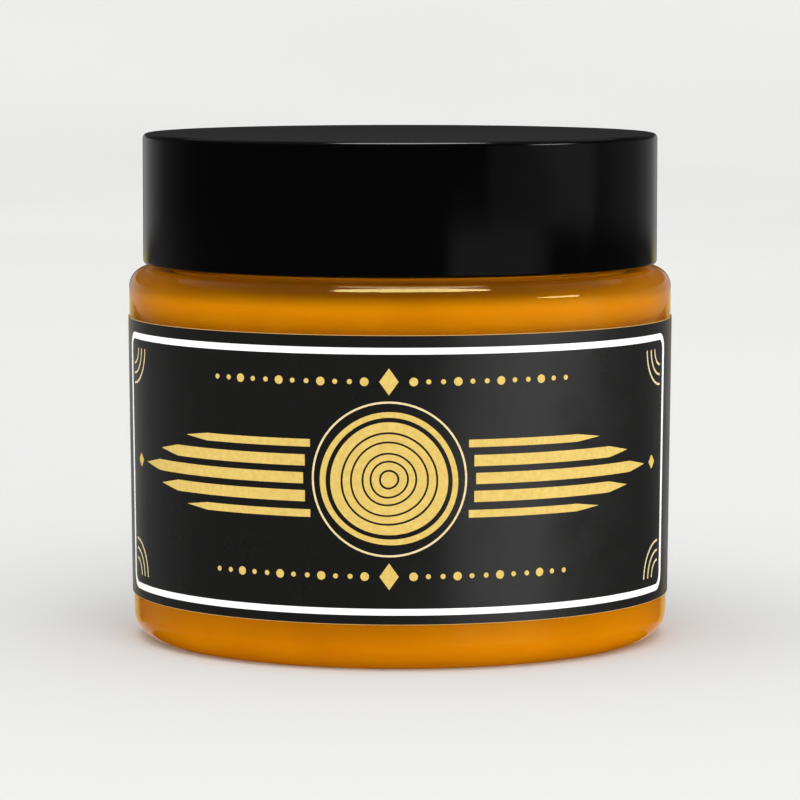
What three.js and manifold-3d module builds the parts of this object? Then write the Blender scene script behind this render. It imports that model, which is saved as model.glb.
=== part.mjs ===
// A small screw-cap jar of amber wood wax: clear jar, wax fill, wrap-round label,
// black screw cap, foam liner and a dished sealing disc with a pull tab.
// Millimetres, +Z up. The origin is the centre of the foot that the jar stands on,
// and the front of the label faces -Y.
import * as THREE from "three";
import { mergeVertices } from "three/addons/utils/BufferGeometryUtils.js";
import Module from "manifold-3d";

const wasm = await Module();
wasm.setup();

// Jar body
const BODY_DIAMETER = 44.5; // across the shoulder, the widest place
const BODY_DRAFT = 0.34; // how far the side leans in from shoulder to table, per side
const BODY_WALL = 1.5;
const SHOULDER_HEIGHT = 30.35; // table to the flat top of the shoulder
const SHOULDER_ROUND = 1.6;
const SHOULDER_WALL = 1.5;
const INNER_SHOULDER_ROUND = 1.2;
const HEEL_ROUND = 2.2;
const INNER_HEEL_ROUND = 1.2;
const FLOOR_HEIGHT = 1.0; // table to the inside floor
const PUSH_UP = 0.3; // hollow under the base
const FOOT_WIDTH = 2.6; // flat ring that touches the table
const PUSH_UP_SLOPE = 1.0; // sloping edge of the hollow

// Neck and its coarse thread
const NECK_DIAMETER = 37.4;
const NECK_HEIGHT = 8.2; // shoulder to rim
const NECK_WALL = 1.6;
const NECK_ROOT_ROUND = 0.5;
const RIM_ROUND = 0.35;
const THREAD_PITCH = 4.23; // six threads to the inch, single start
const THREAD_DEPTH = 1.1;
const THREAD_ROOT_WIDTH = 1.9;
const THREAD_CREST_WIDTH = 0.9;
const THREAD_TOP_DROP = 1.9; // rim to the centre of the thread's upper end
const JAR_THREAD_TURNS = 1.0;
const JAR_THREAD_START = 0.175; // turns from +X to the thread's lower end
const THREAD_RUN_OUT = 0.09; // share of a turn in which each end fades into the wall
const THREAD_EMBED = 0.5; // depth of the ridge's root inside its wall
const THREAD_END_SINK = 0.2; // depth of the faded end below the wall's face

// Screw cap
const CAP_WALL = 1.05;
const CAP_TOP_THICKNESS = 1.0;
const CAP_EDGE_ROUND = 0.4;
const CAP_MOUTH_ROUND = 0.25;
const CAP_MOUTH_CHAMFER = 0.4;
const CAP_THREAD_TURNS = 0.9;
const CAP_THREAD_RISE = 1.25; // skirt's edge to the centre of the thread's lower end
const BEAD_DEPTH = 0.35; // ring that keeps the liner in the cap
const BEAD_HEIGHT = 0.7;

// Seals
const LINER_THICKNESS = 0.8;
const DISC_FLANGE_THICKNESS = 0.6;
const DISC_DEPTH = 1.8; // rim to the underside of the dished floor
const DISC_WALL = 0.6;
const DISC_LIP_ROUND = 0.5;
const TAB_LENGTH = 11;
const TAB_WIDTH = 8;
const TAB_THICKNESS = 0.6;
const TAB_ROOT_LENGTH = 2.4;
const TAB_ROOT_HEIGHT = 0.5; // finger room under the tab

// Wax and label
const WAX_HEADROOM = 8.4; // rim to the wax at the middle of the mouth
const WAX_MENISCUS = 0.5; // rise of the wax where it meets the neck
const WAX_MENISCUS_WIDTH = 2.2;
const LABEL_THICKNESS = 0.1;
const LABEL_TOP_DROP = 4.0; // shoulder to the label's upper edge
const LABEL_BOTTOM_RISE = 3.75; // table to the label's lower edge
const LABEL_SEAM = 2.0; // gap between the label's two ends, at the back

// Clearances
const SEAT_GAP = 0.1; // between faces that press together
const SKIRT_GAP = 0.3; // cap skirt above the shoulder
const THREAD_RADIAL_GAP = 0.2;
const THREAD_FLANK_GAP = 0.15;
const LINER_SIDE_GAP = 0.25;
const DISC_SIDE_GAP = 0.25;
const WAX_GAP = 0.12;
const LABEL_GAP = 0.05;

// Faceting
const SIDES = 60; // facets round the axis
const ROUND_STEPS = 3; // facets in each rounded corner
const TAB_STEPS = 8;
const ROUND_SHARE = 0.48; // most of a side that one rounded corner may take
const WELD = 1e-4; // points nearer than this are one point

// Places and radii that follow from the dimensions above
const bodyRadius = BODY_DIAMETER / 2;
const neckRadius = NECK_DIAMETER / 2;
const boreRadius = neckRadius - NECK_WALL;
const threadRadius = neckRadius + THREAD_DEPTH;
const shoulderUnderside = SHOULDER_HEIGHT - SHOULDER_WALL;
const rimHeight = SHOULDER_HEIGHT + NECK_HEIGHT;
const capBoreRadius = threadRadius + THREAD_RADIAL_GAP;
const capRadius = capBoreRadius + CAP_WALL;
const capThreadDepth = THREAD_DEPTH - THREAD_RADIAL_GAP / 2;
const discBase = rimHeight + SEAT_GAP;
const linerBase = discBase + DISC_FLANGE_THICKNESS + SEAT_GAP;
const capBase = SHOULDER_HEIGHT + SKIRT_GAP;
const capCeiling = linerBase + LINER_THICKNESS + SEAT_GAP - capBase;
const capHeight = capCeiling + CAP_TOP_THICKNESS;

const sideRadiusAt = (z) => bodyRadius - (BODY_DRAFT * (SHOULDER_HEIGHT - z)) / SHOULDER_HEIGHT;
const insideRadiusAt = (z) => sideRadiusAt(z) - BODY_WALL;

// Outlines, revolves and solids

// Turns corners [radius, height, round] into profile points, with each round as an arc
// that is held to the shorter of its two sides.
function roundedProfile(corners) {
  const points = [];
  corners.forEach(([x, z, round = 0], i) => {
    const corner = new THREE.Vector2(x, z);
    const before = corners[i - 1];
    const after = corners[i + 1];
    if (!round || !before || !after) {
      points.push(corner);
      return;
    }
    const toBefore = new THREE.Vector2(before[0], before[1]).sub(corner);
    const toAfter = new THREE.Vector2(after[0], after[1]).sub(corner);
    const room = ROUND_SHARE * Math.min(toBefore.length(), toAfter.length());
    const half = toBefore.angleTo(toAfter) / 2;
    const reach = Math.min(round / Math.tan(half), room);
    const start = corner.clone().addScaledVector(toBefore.normalize(), reach);
    const end = corner.clone().addScaledVector(toAfter.normalize(), reach);
    const middle = toBefore.clone().add(toAfter).normalize();
    const centre = corner.clone().addScaledVector(middle, reach / Math.cos(half));
    const first = start.clone().sub(centre);
    const sweep = Math.atan2(first.cross(end.clone().sub(centre)), first.dot(end.clone().sub(centre)));
    for (let s = 0; s <= ROUND_STEPS; s++) {
      points.push(first.clone().rotateAround(new THREE.Vector2(), (sweep * s) / ROUND_STEPS).add(centre));
    }
  });
  return points;
}

// A profile turned about Z: it starts and ends on the axis, or closes on itself.
function revolve(points) {
  const geometry = new THREE.LatheGeometry(points, SIDES);
  return geometry.rotateX(Math.PI / 2);
}

function solidOf(geometry) {
  const bare = geometry.index ? geometry.toNonIndexed() : geometry.clone();
  bare.deleteAttribute("normal");
  bare.deleteAttribute("uv");
  const merged = mergeVertices(bare, WELD);
  return new wasm.Manifold(
    new wasm.Mesh({
      numProp: 3,
      vertProperties: merged.attributes.position.array,
      triVerts: new Uint32Array(merged.index.array),
    }),
  );
}

function geometryOf(solid) {
  const mesh = solid.getMesh();
  const geometry = new THREE.BufferGeometry();
  geometry.setAttribute("position", new THREE.BufferAttribute(mesh.vertProperties, mesh.numProp));
  geometry.setIndex(new THREE.BufferAttribute(mesh.triVerts, 1));
  geometry.computeVertexNormals();
  return geometry;
}

const joined = (first, ...others) =>
  geometryOf(others.reduce((solid, other) => solid.add(solidOf(other)), solidOf(first)));

const cut = (first, ...others) =>
  geometryOf(others.reduce((solid, other) => solid.subtract(solidOf(other)), solidOf(first)));

// One closed skin with flat ends over a row of like sections. Each section is a ring of
// points that runs anticlockwise as seen from the row's start.
function skin(sections) {
  const size = sections[0].length;
  const positions = sections.flat().flatMap((p) => [p.x, p.y, p.z]);
  const faces = [];
  for (let s = 0; s + 1 < sections.length; s++) {
    for (let i = 0; i < size; i++) {
      const a = s * size + i;
      const b = s * size + ((i + 1) % size);
      faces.push(a, a + size, b, b, a + size, b + size);
    }
  }
  const last = (sections.length - 1) * size;
  for (let i = 1; i + 1 < size; i++) {
    faces.push(0, i, i + 1, last, last + i + 1, last + i);
  }
  const geometry = new THREE.BufferGeometry();
  geometry.setAttribute("position", new THREE.Float32BufferAttribute(positions, 3));
  geometry.setIndex(faces);
  return geometry;
}

// A trapezoid ridge that climbs a wall as a right-hand helix and fades into it at both ends.
// outward is 1 for a thread on the outside of a wall and -1 for one on the inside.
function threadRidge({ wallRadius, depth, outward, lowEnd, startTurn, turns }) {
  const steps = Math.round(turns * SIDES);
  const sections = [];
  for (let s = 0; s <= steps; s++) {
    const along = (s / steps) * turns;
    const fromEnd = Math.min(along, turns - along) / THREAD_RUN_OUT;
    const rise = Math.min(1, fromEnd) * (depth + THREAD_END_SINK) - THREAD_END_SINK;
    const angle = 2 * Math.PI * (startTurn + along);
    const z = lowEnd + THREAD_PITCH * along;
    const root = wallRadius - outward * THREAD_EMBED;
    const crest = wallRadius + outward * rise;
    const ring = [
      [root, -THREAD_ROOT_WIDTH / 2],
      [crest, -THREAD_CREST_WIDTH / 2],
      [crest, THREAD_CREST_WIDTH / 2],
      [root, THREAD_ROOT_WIDTH / 2],
    ].map(([r, dz]) => new THREE.Vector3(r * Math.cos(angle), r * Math.sin(angle), z + dz));
    sections.push(outward > 0 ? ring : ring.reverse());
  }
  return skin(sections);
}

// The two threads lie on one helix: the cap's ridge sits under the jar's, flank to flank.
const jarThreadLowEnd = rimHeight - THREAD_TOP_DROP - THREAD_PITCH * JAR_THREAD_TURNS;
const flankSlope = (THREAD_ROOT_WIDTH - THREAD_CREST_WIDTH) / 2 / THREAD_DEPTH;
const flankOverlap = flankSlope * THREAD_RADIAL_GAP;
const ridgeSpacing = (THREAD_ROOT_WIDTH + THREAD_CREST_WIDTH) / 2 + THREAD_FLANK_GAP + flankOverlap;
const capThreadLowEnd = capBase + CAP_THREAD_RISE;
const capThreadLag = (capThreadLowEnd + ridgeSpacing - jarThreadLowEnd) / THREAD_PITCH;

// Materials
const clearPlastic = new THREE.MeshStandardMaterial({
  color: 0xf3e3c4,
  roughness: 0.06,
  metalness: 0,
  transparent: true,
  opacity: 0.35,
});
const amberWax = new THREE.MeshStandardMaterial({ color: 0xcf7e06, roughness: 0.45, metalness: 0 });
const blackFilm = new THREE.MeshStandardMaterial({ color: 0x1e1d1b, roughness: 0.4, metalness: 0 });
const blackPlastic = new THREE.MeshStandardMaterial({ color: 0x0a0a0a, roughness: 0.28, metalness: 0 });
const whiteFoam = new THREE.MeshStandardMaterial({ color: 0xf1f0ec, roughness: 0.85, metalness: 0 });
const milkyPlastic = new THREE.MeshStandardMaterial({ color: 0xe9ebe8, roughness: 0.4, metalness: 0 });

// Jar body: hollow base, leaning side, flat shoulder, threaded neck and an open bore
function jarBody() {
  const heelRadius = sideRadiusAt(0);
  const footInner = heelRadius - HEEL_ROUND - FOOT_WIDTH;
  const shell = revolve(
    roundedProfile([
      [0, PUSH_UP],
      [footInner - PUSH_UP_SLOPE, PUSH_UP, PUSH_UP],
      [footInner, 0],
      [heelRadius, 0, HEEL_ROUND],
      [bodyRadius, SHOULDER_HEIGHT, SHOULDER_ROUND],
      [neckRadius, SHOULDER_HEIGHT, NECK_ROOT_ROUND],
      [neckRadius, rimHeight, RIM_ROUND],
      [boreRadius, rimHeight, RIM_ROUND],
      [boreRadius, shoulderUnderside, RIM_ROUND],
      [insideRadiusAt(shoulderUnderside), shoulderUnderside, INNER_SHOULDER_ROUND],
      [insideRadiusAt(FLOOR_HEIGHT), FLOOR_HEIGHT, INNER_HEEL_ROUND],
      [0, FLOOR_HEIGHT],
    ]),
  );
  const thread = threadRidge({
    wallRadius: neckRadius,
    depth: THREAD_DEPTH,
    outward: 1,
    lowEnd: jarThreadLowEnd,
    startTurn: JAR_THREAD_START,
    turns: JAR_THREAD_TURNS,
  });
  return joined(shell, thread);
}

// Wax fill: the inside of the jar less a skin of clearance, with a dished top.
// A full jar's wax reaches past the shoulder into the neck.
function waxFill() {
  const floor = FLOOR_HEIGHT + WAX_GAP;
  const underShoulder = shoulderUnderside - WAX_GAP;
  const top = rimHeight - WAX_HEADROOM;
  const brim = top + WAX_MENISCUS;
  const neckSide = boreRadius - WAX_GAP;
  const full = brim > underShoulder;
  const side = full ? underShoulder : brim;
  const edge = full ? neckSide : insideRadiusAt(brim) - WAX_GAP;
  const intoNeck = [
    [insideRadiusAt(side) - WAX_GAP, side, INNER_SHOULDER_ROUND - WAX_GAP],
    [neckSide, side, RIM_ROUND + WAX_GAP],
  ];
  return revolve(
    roundedProfile([
      [0, floor],
      [insideRadiusAt(floor) - WAX_GAP, floor, INNER_HEEL_ROUND - WAX_GAP],
      ...(full ? intoNeck : []),
      [edge, brim],
      [edge - WAX_MENISCUS_WIDTH, top, WAX_MENISCUS_WIDTH],
      [0, top],
    ]),
  );
}

// Wrap-round label: a thin sleeve on the leaning side, open at the back
function wrapLabel() {
  const low = LABEL_BOTTOM_RISE;
  const high = SHOULDER_HEIGHT - LABEL_TOP_DROP;
  const lowRadius = sideRadiusAt(low) + LABEL_GAP;
  const highRadius = sideRadiusAt(high) + LABEL_GAP;
  const sleeve = revolve(
    roundedProfile([
      [lowRadius, low],
      [lowRadius + LABEL_THICKNESS, low],
      [highRadius + LABEL_THICKNESS, high],
      [highRadius, high],
      [lowRadius, low],
    ]),
  );
  const seam = new THREE.BoxGeometry(LABEL_SEAM, bodyRadius, 2 * SHOULDER_HEIGHT);
  seam.translate(0, bodyRadius, 0);
  return cut(sleeve, seam);
}

// Screw cap, modelled from its skirt's lower edge at height 0
function screwCap() {
  const beadTop = linerBase - SEAT_GAP - capBase;
  const shell = revolve(
    roundedProfile([
      [0, capCeiling],
      [capBoreRadius, capCeiling],
      [capBoreRadius, beadTop],
      [capBoreRadius - BEAD_DEPTH, beadTop - BEAD_HEIGHT / 2],
      [capBoreRadius, beadTop - BEAD_HEIGHT],
      [capBoreRadius, CAP_MOUTH_CHAMFER],
      [capBoreRadius + CAP_MOUTH_CHAMFER, 0],
      [capRadius, 0, CAP_MOUTH_ROUND],
      [capRadius, capHeight, CAP_EDGE_ROUND],
      [0, capHeight],
    ]),
  );
  const thread = threadRidge({
    wallRadius: capBoreRadius,
    depth: capThreadDepth,
    outward: -1,
    lowEnd: CAP_THREAD_RISE,
    startTurn: JAR_THREAD_START + capThreadLag,
    turns: CAP_THREAD_TURNS,
  });
  return joined(shell, thread);
}

// Foam liner: a plain disc held above the bead, modelled from its underside
function capLiner() {
  const radius = capBoreRadius - LINER_SIDE_GAP;
  return revolve(
    roundedProfile([
      [0, 0],
      [radius, 0],
      [radius, LINER_THICKNESS],
      [0, LINER_THICKNESS],
    ]),
  );
}

// Sealing disc, modelled from the rim's plane: a flange, a dished floor and a pull tab
function sealingDisc() {
  const lipRadius = boreRadius - DISC_SIDE_GAP;
  const floorTop = DISC_WALL - DISC_DEPTH;
  const dish = revolve(
    roundedProfile([
      [0, -DISC_DEPTH],
      [lipRadius, -DISC_DEPTH, DISC_LIP_ROUND],
      [lipRadius, 0],
      [neckRadius, 0],
      [neckRadius, DISC_FLANGE_THICKNESS],
      [lipRadius - DISC_WALL, DISC_FLANGE_THICKNESS],
      [lipRadius - DISC_WALL, floorTop, DISC_LIP_ROUND],
      [0, floorTop],
    ]),
  );
  const outline = new THREE.Shape();
  outline.moveTo(-TAB_WIDTH / 2, 0);
  outline.lineTo(TAB_WIDTH / 2, 0);
  outline.lineTo(TAB_WIDTH / 2, TAB_LENGTH - TAB_WIDTH / 2);
  outline.absarc(0, TAB_LENGTH - TAB_WIDTH / 2, TAB_WIDTH / 2, 0, Math.PI);
  const tab = new THREE.ExtrudeGeometry(outline, {
    depth: TAB_THICKNESS,
    bevelEnabled: false,
    curveSegments: TAB_STEPS,
  });
  tab.translate(0, -TAB_LENGTH / 2, floorTop + TAB_ROOT_HEIGHT);
  const rootHeight = DISC_WALL / 2 + TAB_ROOT_HEIGHT + TAB_THICKNESS / 2;
  const root = new THREE.BoxGeometry(TAB_WIDTH - 2 * TAB_THICKNESS, TAB_ROOT_LENGTH, rootHeight);
  root.translate(0, TAB_ROOT_LENGTH / 2 - TAB_LENGTH / 2, floorTop - DISC_WALL / 2 + rootHeight / 2);
  return joined(dish, root, tab);
}

// Assembly
function piece(name, geometry, material) {
  const mesh = new THREE.Mesh(geometry, material);
  mesh.name = name;
  return mesh;
}

function groupAt(height, ...meshes) {
  const group = new THREE.Group();
  group.position.z = height;
  group.add(...meshes);
  return group;
}

const closedJar = new THREE.Group();
closedJar.add(
  groupAt(
    0,
    piece("jar_body", jarBody(), clearPlastic),
    piece("wax_fill", waxFill(), amberWax),
    piece("wrap_label", wrapLabel(), blackFilm),
  ),
  groupAt(discBase, piece("sealing_disc", sealingDisc(), milkyPlastic)),
  groupAt(linerBase, piece("cap_liner", capLiner(), whiteFoam)),
  groupAt(capBase, piece("screw_cap", screwCap(), blackPlastic)),
);

export default closedJar;
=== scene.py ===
# %% [markdown]
# A small jar of amber wood wax, dressed for the camera. The construction arrives as a frame of exact
# solids. This lesson gives each solid the fine surface of the real piece: clear moulded plastic, wax,
# printed film, black plastic, foam and milky plastic. Sizes of the jar are in millimetres and are turned
# into metres when a mesh is made. Sizes of the stage round it are in metres.

# %% Load the frame
import math

import bmesh
import bpy
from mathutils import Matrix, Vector


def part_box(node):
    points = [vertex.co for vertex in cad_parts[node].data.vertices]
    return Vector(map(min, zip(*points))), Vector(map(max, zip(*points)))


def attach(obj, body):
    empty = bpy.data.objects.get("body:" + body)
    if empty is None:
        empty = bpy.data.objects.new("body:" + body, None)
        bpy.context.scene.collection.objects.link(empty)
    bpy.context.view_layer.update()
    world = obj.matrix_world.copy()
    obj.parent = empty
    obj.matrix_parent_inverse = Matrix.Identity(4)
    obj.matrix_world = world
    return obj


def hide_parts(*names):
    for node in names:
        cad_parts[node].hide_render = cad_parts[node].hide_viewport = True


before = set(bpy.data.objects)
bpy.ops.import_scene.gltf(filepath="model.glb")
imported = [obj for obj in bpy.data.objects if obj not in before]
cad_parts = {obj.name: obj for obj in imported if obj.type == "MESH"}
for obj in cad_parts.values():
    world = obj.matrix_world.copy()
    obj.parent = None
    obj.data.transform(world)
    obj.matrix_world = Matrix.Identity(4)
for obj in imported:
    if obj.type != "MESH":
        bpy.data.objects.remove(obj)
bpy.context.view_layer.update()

MM = 0.001
print("nodes:", sorted(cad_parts))

# %% [markdown]
# The frame already knows where each piece lies, so the heights and outer radii are read from its boxes. What
# a box can't tell, such as walls, rounds and the thread, is named later, beside the piece that needs it.

# %% Sizes read from the frame


def extent(node):
    """Outer radius, lowest and highest height of a round node, in millimetres."""
    low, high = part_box(node)
    return high[0] / MM, low[2] / MM, high[2] / MM


BODY_RADIUS, _, RIM = extent("jar_body")
_, LABEL_LOW, LABEL_HIGH = extent("wrap_label")
CAP_RADIUS, CAP_LOW, CAP_HIGH = extent("screw_cap")
LINER_RADIUS, LINER_LOW, LINER_HIGH = extent("cap_liner")
DISC_RADIUS, DISC_LOW, DISC_HIGH = extent("sealing_disc")
print(f"body radius {BODY_RADIUS:.2f}, rim {RIM:.2f}, cap {CAP_LOW:.2f} to {CAP_HIGH:.2f}")

# %% [markdown]
# Nearly every piece of a jar is a turned shape. A Screw modifier could turn a profile, but a thread has to
# stand out of two of these walls, so the rings are made in bmesh, where each ring's radius can change with
# the angle. Rounded corners are arcs, held to the shorter of the two sides that meet there.

# %% Profiles
ARC_STEPS = 10
ROUND_LIMIT = 0.49  # the largest share of a side that one round may take
ON_WALL = 1e-4  # profile points are held in single precision
RING_STEP = 0.1


def rounded(corners):
    """Profile points from corners (radius, height, round)."""
    points = []
    for i, (r, z, *rest) in enumerate(corners):
        corner = Vector((r, z))
        if not rest or i in (0, len(corners) - 1):
            points.append(corner)
            continue
        back = Vector(corners[i - 1][:2]) - corner
        ahead = Vector(corners[i + 1][:2]) - corner
        half = back.angle(ahead) / 2
        reach = min(rest[0] / math.tan(half), ROUND_LIMIT * min(back.length, ahead.length))
        start = corner + back.normalized() * reach
        end = corner + ahead.normalized() * reach
        inward = (back.normalized() + ahead.normalized()).normalized()
        centre = corner + inward * (reach / math.cos(half))
        first = start - centre
        last = end - centre
        sweep = math.atan2(first.x * last.y - first.y * last.x, first.dot(last))
        for k in range(ARC_STEPS + 1):
            turn = sweep * k / ARC_STEPS
            c, s = math.cos(turn), math.sin(turn)
            points.append(centre + Vector((c * first.x - s * first.y, s * first.x + c * first.y)))
    return points


def with_rings(points, radius):
    """More rings on the straight stretch of one wall, so that a thread can stand out of it."""
    finer = [points[0]]
    for p, q in zip(points, points[1:]):
        on_wall = max(abs(p.x - radius), abs(q.x - radius)) < ON_WALL
        count = max(1, math.ceil((q - p).length / RING_STEP)) if on_wall else 1
        finer += [p.lerp(q, k / count) for k in range(1, count + 1)]
    return finer


# %% Turned meshes
SIDES = 192
ON_AXIS = 1e-6
CREASE = 40  # degrees between faces from which an edge stays sharp


def mesh_from(bm, name):
    """Mesh data from a bmesh, which is then let go."""
    mesh = bpy.data.meshes.new(name)
    bm.to_mesh(mesh)
    bm.free()
    return mesh


def finish_mesh(name, mesh, material, body):
    """Smooth faces with true creases, one material, and a ride on a body of the frame."""
    mesh.shade_smooth()
    mesh.set_sharp_from_angle(angle=math.radians(CREASE))
    piece = bpy.data.objects.new(name, mesh)
    bpy.context.collection.objects.link(piece)
    mesh.materials.append(material)
    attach(piece, body)
    print(f"{name}: {len(mesh.polygons)} faces on {body}")
    return piece


def turned(name, points, material, body, sides=SIDES, thread=None):
    """A closed mesh turned about Z from a profile that starts and ends on the axis."""
    bm = bmesh.new()
    rings = []
    for p in points:
        count = sides if p.x > ON_AXIS else 1
        ring = []
        for s in range(count):
            angle = 2 * math.pi * s / sides
            r = p.x + (thread(angle, p) if thread else 0)
            ring.append(bm.verts.new((r * math.cos(angle) * MM, r * math.sin(angle) * MM, p.y * MM)))
        rings.append(ring)
    for low, high in zip(rings, rings[1:]):
        for s in range(sides):
            t = (s + 1) % sides
            loop = [low[s % len(low)], low[t % len(low)], high[t % len(high)], high[s % len(high)]]
            bm.faces.new(list(dict.fromkeys(loop)))
    return finish_mesh(name, mesh_from(bm, name), material, body)


# %% [markdown]
# The thread is one coarse ridge that climbs a little over four millimetres in a turn. A boolean of a swept
# ridge would leave ragged triangles, so the ridge is a height over the wall: each ring point asks how far
# it is from the helix, and moves out (or in, inside the cap) by the height of a rounded trapezoid there.

# %% Thread as a height over a wall
THREAD_PITCH = 4.23
THREAD_ROOT = 1.9
THREAD_CREST = 0.9
THREAD_RUN_OUT = 0.09  # in turns, the stretch over which an end fades away


def ease(x):
    """0 to 1 with a soft start and a soft end."""
    x = min(1.0, max(0.0, x))
    return x * x * (3 - 2 * x)


def thread_on(wall, depth, low_end, start_turn, turns):
    """A function of angle and profile point that gives the ridge's height over a wall."""

    def height(angle, p):
        if abs(p.x - wall) > ON_WALL:
            return 0
        best = 0
        for lap in range(-1, 3):
            along = angle / (2 * math.pi) - start_turn + lap
            if not 0 <= along <= turns:
                continue
            away = abs(p.y - low_end - THREAD_PITCH * along)
            flank = (THREAD_ROOT / 2 - away) / ((THREAD_ROOT - THREAD_CREST) / 2)
            fade = min(along, turns - along) / THREAD_RUN_OUT
            best = max(best, ease(flank) * ease(fade))
        return depth * best

    return height


# %% [markdown]
# Effects that more than one finish may use are node groups, built once: smears left by hands, the slow
# ripple of moulded plastic, a fine grain, edges rubbed paler by handling, and a trace of settled dust. Each
# puts out a mask, a value or a height, and the shader itself stays in the material.

# %% Node helpers


def effect(name, inputs, output):
    """A node group with plain number inputs and one output."""
    tree = bpy.data.node_groups.new(name, "ShaderNodeTree")
    for label, value in inputs.items():
        socket = tree.interface.new_socket(label, in_out="INPUT", socket_type="NodeSocketFloat")
        socket.default_value = value
    tree.interface.new_socket(output, in_out="OUTPUT", socket_type="NodeSocketFloat")
    print(f"effect {name}: {', '.join(inputs)} in, {output} out")
    return tree, tree.nodes.new("NodeGroupInput"), tree.nodes.new("NodeGroupOutput")


def add(tree, kind, values=(), links=(), **settings):
    """One node with its settings, its plain input values and its incoming links."""
    node = tree.nodes.new(kind)
    for key, value in settings.items():
        setattr(node, key, value)
    for key, value in dict(values).items():
        node.inputs[key].default_value = value
    for key, source in dict(links).items():
        tree.links.new(source, node.inputs[key])
    return node


def on_surface(tree):
    """Places on the piece itself, so that an effect rides with it."""
    return add(tree, "ShaderNodeTexCoord").outputs["Object"]


def noise(tree, given, values):
    """A noise over the surface, at the scale that the group is given."""
    return add(tree, "ShaderNodeTexNoise", values,
               {"Vector": on_surface(tree), "Scale": given.outputs["Scale"]})


def share(tree, value, low, high):
    """How far a value has come from low to high, as 0 to 1."""
    limits = {"From Min": low, "From Max": high}
    return add(tree, "ShaderNodeMapRange", limits, {"Value": value}).outputs["Result"]


def product(tree, first, second):
    node = add(tree, "ShaderNodeMath", links={0: first, 1: second}, operation="MULTIPLY")
    return node.outputs["Value"]


# %% Smears, ripple and grain
smears, given, out = effect("hand_smears", {"Scale": 120.0, "Clean": 0.1, "Smeared": 0.2}, "Roughness")
cloud = noise(smears, given, {"Detail": 4.0, "Roughness": 0.6, "Distortion": 0.8})
spread = add(smears, "ShaderNodeMapRange", {"From Min": 0.35, "From Max": 0.7}, {
    "Value": cloud.outputs["Fac"], "To Min": given.outputs["Clean"], "To Max": given.outputs["Smeared"]})
smears.links.new(spread.outputs["Result"], out.inputs["Roughness"])

ripple, given, out = effect("moulding_ripple", {"Scale": 70.0}, "Height")
wave = noise(ripple, given, {"Detail": 1.0, "Roughness": 0.4})
ripple.links.new(wave.outputs["Fac"], out.inputs["Height"])

grain, given, out = effect("fine_grain", {"Scale": 3000.0, "Detail": 3.0}, "Height")
speck = noise(grain, given, {"Roughness": 0.65})
grain.links.new(given.outputs["Detail"], speck.inputs["Detail"])
grain.links.new(speck.outputs["Fac"], out.inputs["Height"])

# %% Rubbed edges and settled dust
rubbed, given, out = effect("rubbed_edges", {"Reach": 0.53, "Scale": 400.0}, "Mask")
edge = add(rubbed, "ShaderNodeNewGeometry")
broken = noise(rubbed, given, {"Detail": 5.0, "Roughness": 0.7})
sharp = add(rubbed, "ShaderNodeMapRange", {"From Max": 0.62},
            {"Value": edge.outputs["Pointiness"], "From Min": given.outputs["Reach"]})
patchy = share(rubbed, broken.outputs["Fac"], low=0.45, high=0.6)
rubbed.links.new(product(rubbed, sharp.outputs["Result"], patchy), out.inputs["Mask"])

dust, given, out = effect("settled_dust", {"Scale": 900.0, "Amount": 0.1}, "Mask")
facing = add(dust, "ShaderNodeSeparateXYZ", links={0: add(dust, "ShaderNodeNewGeometry").outputs["Normal"]})
motes = noise(dust, given, {"Detail": 6.0, "Roughness": 0.75})
upward = share(dust, facing.outputs["Z"], low=0.6, high=1.0)
sparse = share(dust, motes.outputs["Fac"], low=0.55, high=0.75)
lying = product(dust, upward, sparse)
dust.links.new(product(dust, lying, given.outputs["Amount"]), out.inputs["Mask"])

# %% [markdown]
# A finish starts as one Principled shader with its plain values on its own sockets. The helpers below hang
# effects on it: a roughness that varies, a bump, a second colour mixed in by a mask, and a way to be clear
# for some rays or faces only.

# %% Finish helpers
# A Mix node has sockets for numbers, vectors and colours. These are the places of its colour sockets.
COLOUR_A, COLOUR_B, COLOUR_OUT = 6, 7, 2


def finish(name, **values):
    """A material whose Principled shader has plain values; an underscore stands for a space."""
    material = bpy.data.materials.new(name)
    material.use_nodes = True
    shader = material.node_tree.nodes["Principled BSDF"]
    for key, value in values.items():
        shader.inputs[key.replace("_", " ")].default_value = value
    print("finish:", name)
    return material, material.node_tree, shader


def use(tree, group, **values):
    """Place an effect in a material with its own values, and give what it puts out."""
    return add(tree, "ShaderNodeGroup", values, node_tree=group).outputs[0]


def roughened(tree, shader, scale, clean, smeared):
    """Roughness that goes from clean to smeared in patches."""
    tree.links.new(use(tree, smears, Scale=scale, Clean=clean, Smeared=smeared), shader.inputs["Roughness"])


def bumped(tree, shader, height, strength, depth):
    """Relief from a height; depth is in millimetres."""
    relief = {"Strength": strength, "Distance": depth * MM}
    bump = add(tree, "ShaderNodeBump", relief, {"Height": height})
    tree.links.new(bump.outputs["Normal"], shader.inputs["Normal"])


def tinted(tree, base, second, mask):
    """Base colour with a second colour laid over it by a mask. base is a colour or an output."""
    mix = add(tree, "ShaderNodeMix", data_type="RGBA")
    tree.links.new(mask, mix.inputs["Factor"])
    if isinstance(base, bpy.types.NodeSocket):
        tree.links.new(base, mix.inputs[COLOUR_A])
    else:
        mix.inputs[COLOUR_A].default_value = base
    mix.inputs[COLOUR_B].default_value = second
    return mix.outputs[COLOUR_OUT]


def two_tone(tree, shader, value, low, high, dark, light):
    """Base colour that goes from dark to light as a value goes from low to high."""
    tone = tinted(tree, dark, light, share(tree, value, low, high))
    tree.links.new(tone, shader.inputs["Base Color"])


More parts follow.
